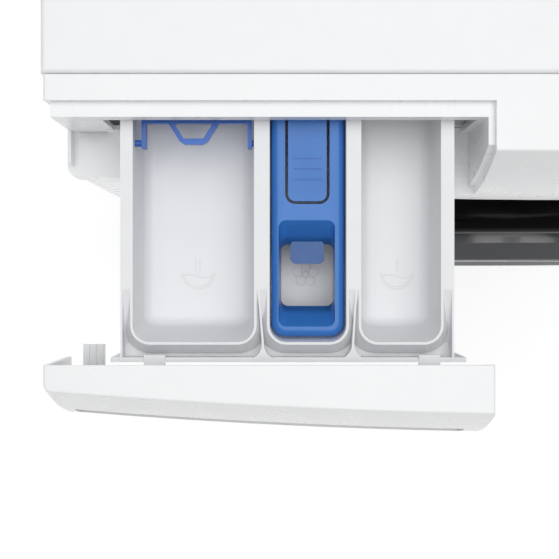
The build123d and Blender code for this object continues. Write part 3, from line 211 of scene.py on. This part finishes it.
# An edge value above 1 paints convex edges lighter, a painted highlight.
finishes = {
    "white_enamel": surface("white_enamel", srgb(240, 241, 243), 0.28, coat=0.3, grain=700, depth=0.000002),
    "top_white": surface("top_white", srgb(243, 244, 246), 0.36, grain=900, depth=0.000008, cloud=0.006),
    "zinc_steel": surface(
        "zinc_steel", srgb(196, 199, 202), 0.42, metallic=0.85, grain=260, depth=0.00004, cloud=0.09,
        specks=(srgb(216, 219, 222), 210, 0.42),
    ),
    "screw_steel": surface("screw_steel", srgb(190, 190, 186), 0.32, metallic=1.0, edge=1.3, **FINE),
    "foot_black": surface("foot_black", srgb(44, 44, 46), 0.55, edge=1.6, **PLASTIC),
    "panel_white": surface("panel_white", srgb(244, 245, 246), 0.30, cloud=0.006, **FINE),
    "moulded_white": surface("moulded_white", srgb(234, 235, 237), 0.42, cloud=0.012, **PLASTIC),
    # The blue cover's low tab is darkened below 0.816 m as painted shade, and its edges carry a painted
    # highlight.
    "cover_blue": surface(
        "cover_blue", srgb(52, 116, 194), 0.30, cloud=0.03, shine=0.4, edge=1.12, painted_shade_below=(0.816, 0.62), **FINE
    ),
    "flap_blue": surface("flap_blue", srgb(48, 96, 178), 0.30, cloud=0.03, edge=1.3, shine=0.35, **FINE),
    # The grip strip is partly its own dark grey plastic and partly painted shade for the shadow inside the
    # drawer's grip slot.
    "grip_grey": surface("grip_grey", srgb(62, 63, 66), 0.5, **PLASTIC),
    "display_black": surface("display_black", srgb(14, 15, 18), 0.07, vary=0.02, coat=0.6, **FINE),
    "board_green": surface(
        "board_green", srgb(28, 92, 62), 0.45, cloud=0.08, grain=900, depth=0.00008,
        specks=(srgb(196, 170, 96), 420, 0.36),
    ),
    "knob_white": surface("knob_white", srgb(236, 237, 239), 0.24, cloud=0.008, **FINE),
    "key_grey": surface("key_grey", srgb(196, 198, 201), 0.3, **FINE),
    "key_white": surface("key_white", srgb(236, 237, 239), 0.26, **FINE),
    "valve_white": surface("valve_white", srgb(222, 222, 216), 0.45, edge=1.1, **PLASTIC),
    "hose_black": surface("hose_black", srgb(38, 38, 40), 0.62, cloud=0.1, grain=1500, depth=0.00004),
    "gland_grey": surface("gland_grey", srgb(92, 93, 96), 0.5, edge=1.2, **PLASTIC),
    "tub_grey": surface(
        "tub_grey", srgb(186, 189, 192), 0.58, cloud=0.05, grain=1100, depth=0.00005,
        specks=(srgb(206, 208, 210), 640, 0.38),
    ),
    "bearing_steel": surface("bearing_steel", srgb(206, 207, 210), 0.14, metallic=1.0, **FINE),
    "heater_steel": surface("heater_steel", srgb(150, 148, 144), 0.36, metallic=1.0, cloud=0.14, **FINE),
    "concrete": surface(
        "concrete", srgb(168, 165, 158), 0.9, cloud=0.12, grain=420, depth=0.0005, edge=1.18,
        specks=(srgb(120, 117, 111), 330, 0.40),
    ),
    "spring_steel": surface("spring_steel", srgb(122, 124, 128), 0.33, metallic=1.0, cloud=0.1, **FINE),
    "damper_grey": surface("damper_grey", srgb(74, 75, 78), 0.5, edge=1.3, **PLASTIC),
    "rod_steel": surface("rod_steel", srgb(198, 199, 203), 0.16, metallic=1.0, brush=(1, 1, 30), **FINE),
    "gasket_grey": surface("gasket_grey", srgb(132, 134, 138), 0.6, cloud=0.06, grain=1700, depth=0.00004),
    "motor_alloy": surface(
        "motor_alloy", srgb(176, 178, 181), 0.44, metallic=0.9, cloud=0.07,
        grain=520, depth=0.00012, edge=1.2,
    ),
    "pulley_alloy": surface(
        "pulley_alloy", srgb(194, 196, 199), 0.36, metallic=1.0, cloud=0.06,
        grain=420, depth=0.00006, edge=1.2,
    ),
    "belt_black": surface("belt_black", srgb(34, 34, 36), 0.6, brush=(1, 14, 1), grain=300, depth=0.0004),
    "drum_steel": surface(
        "drum_steel", srgb(206, 208, 211), 0.24, metallic=1.0, brush=(1, 24, 1), grain=260, depth=0.00002
    ),
    "spider_alloy": surface(
        "spider_alloy", srgb(180, 182, 185), 0.48, metallic=1.0, cloud=0.08,
        grain=480, depth=0.00015, edge=1.2,
    ),
    "shaft_steel": surface("shaft_steel", srgb(200, 200, 204), 0.2, metallic=1.0, brush=(1, 20, 1), **FINE),
    "lifter_grey": surface("lifter_grey", srgb(204, 206, 208), 0.36, edge=1.08, **PLASTIC),
    "pump_grey": surface("pump_grey", srgb(106, 108, 112), 0.5, edge=1.25, **PLASTIC),
    "filter_grey": surface("filter_grey", srgb(140, 142, 146), 0.46, edge=1.2, **PLASTIC),
    "impeller_white": surface("impeller_white", srgb(214, 215, 214), 0.42, **PLASTIC),
    "pipe_grey": surface("pipe_grey", srgb(142, 144, 147), 0.5, cloud=0.06, **PLASTIC),
    "door_black": surface("door_black", srgb(13, 13, 14), 0.14, vary=0.03, shine=0.06, **FINE),
    "ring_grey": surface("ring_grey", srgb(80, 81, 84), 0.2, vary=0.03, coat=0.4, **FINE),
    "door_glass": glass("door_glass", srgb(232, 240, 242), 0.03),
    "inner_grey": surface("inner_grey", srgb(160, 162, 165), 0.46, **PLASTIC),
    "hinge_alloy": surface(
        "hinge_alloy", srgb(178, 179, 183), 0.36, metallic=1.0, cloud=0.05,
        grain=700, depth=0.00006, edge=1.2,
    ),
    "lock_black": surface("lock_black", srgb(46, 46, 49), 0.5, edge=1.3, **PLASTIC),
}
mark_grey = surface("mark_grey", srgb(120, 123, 128), 0.4, **FINE)
amber_light = glowing("amber_light", srgb(255, 244, 226), 2.2)
faint_light = glowing("faint_light", srgb(150, 156, 168), 0.5)

for part in frame["record"]["subparts"]:
    mesh = frame["nodes"][part["node"]].data
    mesh.materials.clear()
    mesh.materials.append(finishes[part["material_slot"]])


# ---------------------------------------------------------------- making pieces
def piece(name, data, slot_name, body=None, material=None):
    """Links a mesh or curve as a named piece that rides on a body."""
    thing = bpy.data.objects.new(name, data)
    scene.collection.objects.link(thing)
    data.materials.append(material or finishes[slot_name])
    if body:
        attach(thing, body)
    return thing


def mesh_from(name, points, faces, sharp=math.radians(40)):
    """A mesh with outward normals, smooth except along sharp edges."""
    data = bpy.data.meshes.new(name)
    data.from_pydata([tuple(p) for p in points], [], faces)
    data.validate()
    work = bmesh.new()
    work.from_mesh(data)
    bmesh.ops.remove_doubles(work, verts=work.verts, dist=1e-6)
    bmesh.ops.recalc_face_normals(work, faces=work.faces)
    for face in work.faces:
        face.smooth = True
    for edge in work.edges:
        if len(edge.link_faces) == 2 and edge.calc_face_angle(0) > sharp:
            edge.smooth = False
    work.to_mesh(data)
    work.free()
    return data


def turned(name, profile, place, segments=128):
    """Turns a closed outline; profile holds (radius, height) and place(r, h, angle) gives the point."""
    points, faces = [], []
    count = len(profile)
    for turn in range(segments):
        angle = math.tau * turn / segments
        points += [place(radius, height, angle) for radius, height in profile]
        here, after = turn * count, (turn + 1) % segments * count
        for i in range(count):
            j = (i + 1) % count
            faces.append((here + i, here + j, after + j, after + i))
    return mesh_from(name, points, faces)


def swept(name, path, radius_at, segments=14):
    """A tube along a list of points; radius_at(share) gives its radius. Ends are closed."""
    path = [Vector(p) for p in path]
    tangents = [
        (path[min(i + 1, len(path) - 1)] - path[max(i - 1, 0)]).normalized() for i in range(len(path))
    ]
    side = tangents[0].orthogonal().normalized()
    points, faces = [], []
    for i, (centre, tangent) in enumerate(zip(path, tangents)):
        side = (side - tangent * side.dot(tangent)).normalized()
        other = tangent.cross(side)
        radius = radius_at(i / (len(path) - 1))
        for k in range(segments):
            angle = math.tau * k / segments
            points.append(centre + radius * (math.cos(angle) * side + math.sin(angle) * other))
        if i:
            base = (i - 1) * segments
            for k in range(segments):
                n = (k + 1) % segments
                faces.append((base + k, base + n, base + segments + n, base + segments + k))
    faces.append(tuple(range(segments)))
    faces.append(tuple(range(len(points) - segments, len(points))))
    return mesh_from(name, points, faces)


def smooth_path(corners, steps=60):
    """Points along a smooth spline that starts and ends at the first and last corner."""
    data = bpy.data.curves.new("path", "CURVE")
    data.dimensions = "3D"
    data.resolution_u = max(2, steps // len(corners))
    spline = data.splines.new("NURBS")
    spline.points.add(len(corners) - 1)
    for point, corner in zip(spline.points, corners):
        point.co = (*corner, 1)
    spline.order_u = 3
    spline.use_endpoint_u = True
    holder = bpy.data.objects.new("path", data)
    scene.collection.objects.link(holder)
    sampled = bpy.data.meshes.new_from_object(holder)
    points = [v.co.copy() for v in sampled.vertices]
    bpy.data.objects.remove(holder)
    bpy.data.meshes.remove(sampled)
    return points


def ridges(name, lines, half_width, slot_name, body, material=None):
    """Thin raised lines along lists of points, as one curve piece."""
    data = bpy.data.curves.new(name, "CURVE")
    data.dimensions = "3D"
    data.bevel_depth = half_width
    data.bevel_resolution = 2
    data.use_fill_caps = True
    for points, closed in lines:
        spline = data.splines.new("POLY")
        spline.points.add(len(points) - 1)
        for target, point in zip(spline.points, points):
            target.co = (*point, 1)
        spline.use_cyclic_u = closed
    return piece(name, data, slot_name, body, material)


def arc(centre, radius, start, end, steps, z):
    """Points on a level arc; angles in degrees from +X."""
    angles = [math.radians(start + (end - start) * i / steps) for i in range(steps + 1)]
    return [(centre[0] + radius * math.cos(a), centre[1] + radius * math.sin(a), z) for a in angles]


# ---------------------------------------------------------------- drum with real holes
def perforated_drum():
    """The drum's wall with staggered holes, its rolled front lip, and its ribbed back."""
    low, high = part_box("drum_shell")
    radius = (high.x - low.x) / 2 - 0.8 * MM
    axis_z = (high.z + low.z) / 2
    around, along, hole = 144, 32, 2.0 * MM
    points, faces = [], []

    def on_wall(turn, y):
        angle = math.tau * turn / around
        return (radius * math.cos(angle), y, axis_z + radius * math.sin(angle))

    front, rear = low.y + 6 * MM, high.y - 8 * MM
    pitch = (rear - front) / along
    for row in range(along + 1):
        points += [on_wall(column, front + row * pitch) for column in range(around)]
    for row in range(along):
        for column in range(around):
            after = (column + 1) % around
            corners = [
                row * around + column, row * around + after,
                (row + 1) * around + after, (row + 1) * around + column,
            ]
            if (row + column) % 2 or row in (0, along - 1):
                faces.append(tuple(corners))
                continue
            first = len(points)
            for step in range(8):
                angle = math.radians(225 + 45 * step)
                sideways = math.cos(angle) * hole / (math.tau * radius / around)
                y = front + (row + 0.5) * pitch + math.sin(angle) * hole
                points.append(on_wall(column + 0.5 + sideways, y))
            for k in range(4):
                ring = [first + (2 * k + s) % 8 for s in (2, 1, 0)]
                faces.append((corners[k], corners[(k + 1) % 4], *ring))

    def band(profile):
        start = len(points)
        for column in range(around):
            angle = math.tau * column / around
            for ring_radius, y in profile:
                points.append((ring_radius * math.cos(angle), y, axis_z + ring_radius * math.sin(angle)))
        count = len(profile)
        for column in range(around):
            here, after = start + column * count, start + (column + 1) % around * count
            for i in range(count - 1):
                faces.append((here + i, here + i + 1, after + i + 1, after + i))

    # The front: a rounded corner, one pressed ring, and the rolled lip round the mouth.
    lip = low.y + 0.8 * MM
    front_profile = [(radius, front)]
    for inward, y in ((0, 3), (1.2, 0.9), (4, 0), (20, 0), (24, 2), (40, 2), (44, 0)):
        front_profile.append((radius - inward * MM, lip + y * MM))
    for mouth, y in ((164, 0), (161.5, 0.8), (160.8, 3), (160.8, 7)):
        front_profile.append((mouth * MM, lip + y * MM))
    band(front_profile)
    # The back: a rounded corner, then pressed rings down to the hub.
    back = high.y - 0.8 * MM
    back_profile = [(radius, rear)]
    for inward, y in ((0, 3), (1.2, 0.9), (4, 0)):
        back_profile.append((radius - inward * MM, back - y * MM))
    for i in range(24):
        back_profile.append((radius - (10 + 8 * i) * MM, back - (2.4 * MM if i % 3 == 1 else 0)))
    band(back_profile + [(34 * MM, back)])
    drum = piece("drum_skin", mesh_from("drum_skin", points, faces), "drum_steel")
    thick = drum.modifiers.new("thickness", "SOLIDIFY")
    thick.thickness = 1.4 * MM
    thick.offset = 0
    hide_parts("drum_shell")
    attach(drum, "drum")


perforated_drum()


# ---------------------------------------------------------------- springs, bellows and hoses
def coil_springs():
    """Two hooked coil springs between the tub's lugs and the cabinet's arms."""
    low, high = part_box("suspension_springs")
    wire, turns, steps = 1.6 * MM, 15, 20
    body_low, body_high = low.z + 14 * MM, high.z - 14 * MM
    middle_y = (low.y + high.y) / 2
    coil = (high.y - low.y) / 2 - wire
    inset = 12 * MM                        # from the box's side to a spring's middle
    for name, x in (("spring_left", low.x + inset), ("spring_right", high.x - inset)):
        path = [(x, middle_y, low.z + wire), (x, middle_y, body_low - 4 * MM)]
        for i in range(turns * steps + 1):
            angle = math.tau * i / steps
            reach = coil * min(1, i / 10, (turns * steps - i) / 10 + 0.05)
            rise = body_low + (body_high - body_low) * i / (turns * steps)
            path.append((x + reach * math.cos(angle), middle_y + reach * math.sin(angle), rise))
        path += [(x, middle_y, body_high + 4 * MM), (x, middle_y, high.z - wire)]
        spring = piece(name, swept(name, path, lambda share: wire, 10), "spring_steel")
        if name == "spring_left":
            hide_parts("suspension_springs")
        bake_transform(spring)


def door_bellows():
    """The rubber bellows: a clip bead on the front sheet, one deep fold, and a soft inner lip."""
    low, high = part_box("door_gasket")
    axis_z = (low.z + high.z) / 2
    inner = [(179.4, -189.8), (179.4, -174), (183, -171), (187.4, -166.6), (188, -161), (187.6, -152.6)]
    inner += [(184, -147), (180, -143.4), (179.4, -140), (179.4, -129.7)]
    outer = [(176.6, -129.7), (176.5, -142), (180.5, -147.4), (184, -153.4), (184.8, -160)]
    outer += [(184, -164.6), (180, -168.6), (176.6, -171), (170, -170), (163, -167.6)]
    outer += [(159.4, -166.6), (158.6, -168)]
    outer += [(160.6, -170.2), (168, -172.8), (176.4, -175.4), (176.6, -189.8)]
    profile = [(r * MM, y * MM) for r, y in inner + outer]
    data = turned(
        "bellows_skin", profile, lambda r, y, a: (r * math.cos(a), y, axis_z + r * math.sin(a)), 160
    )
    skin = piece("bellows_skin", data, "gasket_grey")
    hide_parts("door_gasket")
    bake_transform(skin)


def filling_bellows():
    """Black rubber bellows that feed water from the dispenser into the tub."""
    low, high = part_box("fill_bellows")
    centre = (low + high) / 2
    outer = (high.x - low.x) / 2
    folds, steps = 9, 8
    profile = [(outer - 5.5 * MM, low.z)]
    for i in range(folds * steps + 1):
        wave = 0.5 - 0.5 * math.cos(math.tau * i / steps)
        level = low.z + (high.z - low.z) * i / (folds * steps)
        profile.append((outer - 3.8 * MM + 3.7 * MM * wave, level))
    profile.append((outer - 5.5 * MM, high.z))

    def upright(radius, z, angle):
        return (centre.x + radius * math.cos(angle), centre.y + radius * math.sin(angle), z)

    data = turned("filling_skin", profile, upright, 56)
    skin = piece("filling_skin", data, "hose_black")
    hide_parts("fill_bellows")
    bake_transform(skin)


def sump_pipe():
    """Ribbed rubber pipe from the tub's sump down to the drain pump."""
    low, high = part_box("sump_hose")
    pump_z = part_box("drain_pump")[0].z + 27 * MM
    start = Vector((low.x + 14 * MM, high.y - 14 * MM, high.z))
    end = Vector((high.x, low.y + 14 * MM, pump_z))
    corners = [start, start - Vector((0, 0, 20 * MM)), (start.x, start.y, 78 * MM)]
    corners += [(start.x + 20 * MM, -82 * MM, 66 * MM)]
    corners += [(end.x - 38 * MM, end.y, pump_z), (end.x - 18 * MM, end.y, pump_z), end]
    path = smooth_path(corners, 160)

    def radius_at(share):
        middle = min(1, max(0, 8 * min(share, 1 - share) - 0.6))
        return (13.4 - 1.8 * middle * (0.5 - 0.5 * math.cos(math.tau * 14 * share))) * MM

    skin = piece("sump_skin", swept("sump_skin", path, radius_at, 28), "hose_black")
    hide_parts("sump_hose")
    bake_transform(skin)


coil_springs()
door_bellows()
filling_bellows()
sump_pipe()


# ---------------------------------------------------------------- marks moulded in the drawer's floors
def drawer_marks():
    """A basin outline in each washing compartment and a plain five petal ring in the middle one."""
    bin_mesh = frame["nodes"]["drawer_bin"].data
    bin_tree = BVHTree.FromPolygons(
        [v.co.copy() for v in bin_mesh.vertices], [tuple(p.vertices) for p in bin_mesh.polygons]
    )

    def floor_at(x, y):
        return bin_tree.ray_cast(Vector((x, y, 0.9)), Vector((0, 0, -1)))[0].z

    radius, centre_y, line = 9.6 * MM, -0.2497, 0.3 * MM
    for name, centre_x, bars in (("mark_main", -0.2207, 2), ("mark_prewash", -0.1061, 1)):
        floor_z = floor_at(centre_x, centre_y)
        lines = []
        for ring in (radius, radius - 1.3 * MM):
            lines.append((arc((centre_x, centre_y), ring, 180, 360, 28, floor_z), False))
        wave = []
        for i in range(29):
            share = i / 28
            swell = 0.9 * MM * math.sin(math.tau * share)
            wave.append((centre_x + radius * (1.8 * share - 0.9), centre_y - 2.2 * MM + swell, floor_z))
        lines.append((wave, False))
        for bar in range(bars):
            x = centre_x + (bar - (bars - 1) / 2) * 2.4 * MM
            lines.append(([(x, centre_y + 0.6 * MM, floor_z), (x, centre_y + 8 * MM, floor_z)], False))
        ridges(name, lines, line, "moulded_white", "drawer")
    middle = (-0.1588, -0.2508)
    floor_z = floor_at(*middle)
    petals = [(arc(middle, 1.5 * MM, 0, 345, 16, floor_z), True)]
    for turn in range(5):
        angle = math.radians(90 + 72 * turn)
        spot = (middle[0] + 4.6 * MM * math.cos(angle), middle[1] + 4.6 * MM * math.sin(angle))
        petals.append((arc(spot, 2.6 * MM, 0, 345, 20, floor_z), True))
    ridges("mark_middle", petals, line, "moulded_white", "drawer")


drawer_marks()


# ---------------------------------------------------------------- panel: scale, marks and display
panel_mesh = frame["nodes"]["control_panel"].data
panel_tree = BVHTree.FromPolygons(
    [v.co.copy() for v in panel_mesh.vertices], [tuple(p.vertices) for p in panel_mesh.polygons]
)


def on_panel(x, z, lift):
    """The point of the panel's front face at (x, z), moved out along its normal."""
    spot, normal, _, _ = panel_tree.ray_cast(Vector((x, -0.5, z)), Vector((0, 1, 0)))
    return spot + normal * lift


def panel_marks():
    """A ring of ticks round the knob, and a small plain mark beside each key."""
    low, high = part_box("programme_knob")
    knob = ((low.x + high.x) / 2, (low.z + high.z) / 2)
    lines = []
    for turn in range(24):
        angle = math.radians(15 * turn)
        inner, outer = (30 * MM, (34.5 if turn % 3 == 0 else 32.5) * MM)
        reach = [(knob[0] + r * math.sin(angle), knob[1] + r * math.cos(angle)) for r in (inner, outer)]
        lines.append(([on_panel(x, z, 0.02 * MM) for x, z in reach], False))
    for key in ("temperature_button", "spin_button", "delay_button"):
        low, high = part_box(key)
        middle = (low.x + high.x) / 2
        span = [middle - 5 * MM, middle + 5 * MM]
        lines.append(([on_panel(x, low.z - 3.6 * MM, 0.02 * MM) for x in span], False))
    ridges("panel_marks", lines, 0.22 * MM, "key_grey", "cabinet", mark_grey)


def display_digits():
    """Lit clock digits and a row of small bars behind the display's window."""
    low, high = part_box("display_window")
    window_tree = BVHTree.FromPolygons(
        [v.co.copy() for v in frame["nodes"]["display_window"].data.vertices],
        [tuple(p.vertices) for p in frame["nodes"]["display_window"].data.polygons],
    )

    def on_window(x, z):
        spot, normal, _, _ = window_tree.ray_cast(Vector((x, -0.5, z)), Vector((0, 1, 0)))
        return spot + normal * 0.05 * MM

    segments = {
        "0": "abcdef", "1": "bc", "4": "fgbc", "5": "afgcd",
    }
    width, height = 6.4 * MM, 13 * MM
    middle = ((low.x + high.x) / 2, (low.z + high.z) / 2)
    corners = {
        "a": ((0, 2), (1, 2)), "b": ((1, 2), (1, 1)), "c": ((1, 1), (1, 0)), "d": ((0, 0), (1, 0)),
        "e": ((0, 1), (0, 0)), "f": ((0, 2), (0, 1)), "g": ((0, 1), (1, 1)),
    }
    lines = []
    for place, digit in zip((-26, -12, -1), "145"):
        left, bottom = middle[0] + place * MM, middle[1] - height / 2
        for letter in segments[digit]:
            ends = []
            for (u, v), (w, t) in (corners[letter], corners[letter][::-1]):
                x, z = left + u * width, bottom + v * height / 2
                x2, z2 = left + w * width, bottom + t * height / 2
                ends.append(on_window(x + 0.12 * (x2 - x), z + 0.12 * (z2 - z)))
            lines.append((ends, False))
    for dot_z in (-3, 3):
        x, z = middle[0] - 16 * MM, middle[1] + dot_z * MM
        lines.append(([on_window(x - 0.3 * MM, z), on_window(x + 0.3 * MM, z)], False))
    ridges("display_digits", lines, 0.55 * MM, "display_black", "cabinet", amber_light)
    bars = []
    for bar in range(6):
        x = middle[0] + (22 + 5 * bar) * MM
        bar_top = middle[1] - (3.5 - 1.5 * bar) * MM
        bars.append(([on_window(x, middle[1] - 6 * MM), on_window(x, bar_top)], False))
    ridges("display_bars", bars, 0.5 * MM, "display_black", "cabinet", faint_light)


panel_marks()
display_digits()


# ---------------------------------------------------------------- inlet thread
def inlet_thread():
    """The helical ridge on the water inlet, for a hose nut."""
    low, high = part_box("inlet_valve")
    centre = ((low.x + high.x) / 2, 0.760)
    pitch, turns, steps, reach = 1.8 * MM, 5, 40, 13.1 * MM
    path = []
    for i in range(turns * steps + 1):
        angle = math.tau * i / steps
        y = high.y - 1.2 * MM - pitch * i / steps
        path.append((centre[0] + reach * math.cos(angle), y, centre[1] + reach * math.sin(angle)))

    def ridge_radius(share):
        return 0.6 * MM * min(1, 20 * share + 0.2, 20 * (1 - share) + 0.2)

    data = swept("inlet_thread", path, ridge_radius, 6)
    piece("inlet_thread", data, "valve_white", "cabinet")


inlet_thread()


# ---------------------------------------------------------------- floor and light
def floor():
    """A wide pale floor at the height of the feet."""
    half = 6.0
    data = bpy.data.meshes.new("floor")
    corners = [(-half, -half, 0), (half, -half, 0), (half, half, 0), (-half, half, 0)]
    data.from_pydata(corners, [], [(0, 1, 2, 3)])
    ground = bpy.data.objects.new("floor", data)
    scene.collection.objects.link(ground)
    pale = surface("floor_white", srgb(250, 250, 250), 0.8, cloud=0.004, grain=300, depth=0.00002)
    shader = pale.node_tree.nodes["Principled BSDF"]
    shader.inputs["Emission Color"].default_value = (1, 1, 1, 1)
    shader.inputs["Emission Strength"].default_value = FLOOR_GLOW
    data.materials.append(pale)


def area_light(name, place, target, size, power, colour=(1, 1, 1)):
    """A soft square light aimed at a point."""
    data = bpy.data.lights.new(name, "AREA")
    data.shape = "SQUARE"
    data.size = size
    data.energy = power
    data.color = colour
    lamp = bpy.data.objects.new(name, data)
    lamp.location = place
    lamp.rotation_euler = (Vector(target) - Vector(place)).to_track_quat("-Z", "Y").to_euler()
    scene.collection.objects.link(lamp)


# The floor's own glow keeps the background white under an even sky.
FLOOR_GLOW, SKY_STRENGTH = 0.42, 0.40
floor()
world = bpy.data.worlds.new("studio")
world.use_nodes = True
world.node_tree.nodes["Background"].inputs["Color"].default_value = (1.0, 1.0, 1.0, 1.0)
world.node_tree.nodes["Background"].inputs["Strength"].default_value = SKY_STRENGTH
scene.world = world
scene.view_settings.view_transform = "Standard"
scene.view_settings.look = "None"
machine_middle = (0, 0, worktop_z / 2)
area_light("overhead", (0.1, 0.1, 3.2), (-0.1, -0.1, 0.8), 2.2, 38)
area_light("front_left", (-2.4, -2.6, 1.5), machine_middle, 1.6, 5)
area_light("back_right", (2.4, 2.2, 1.8), machine_middle, 1.6, 5)
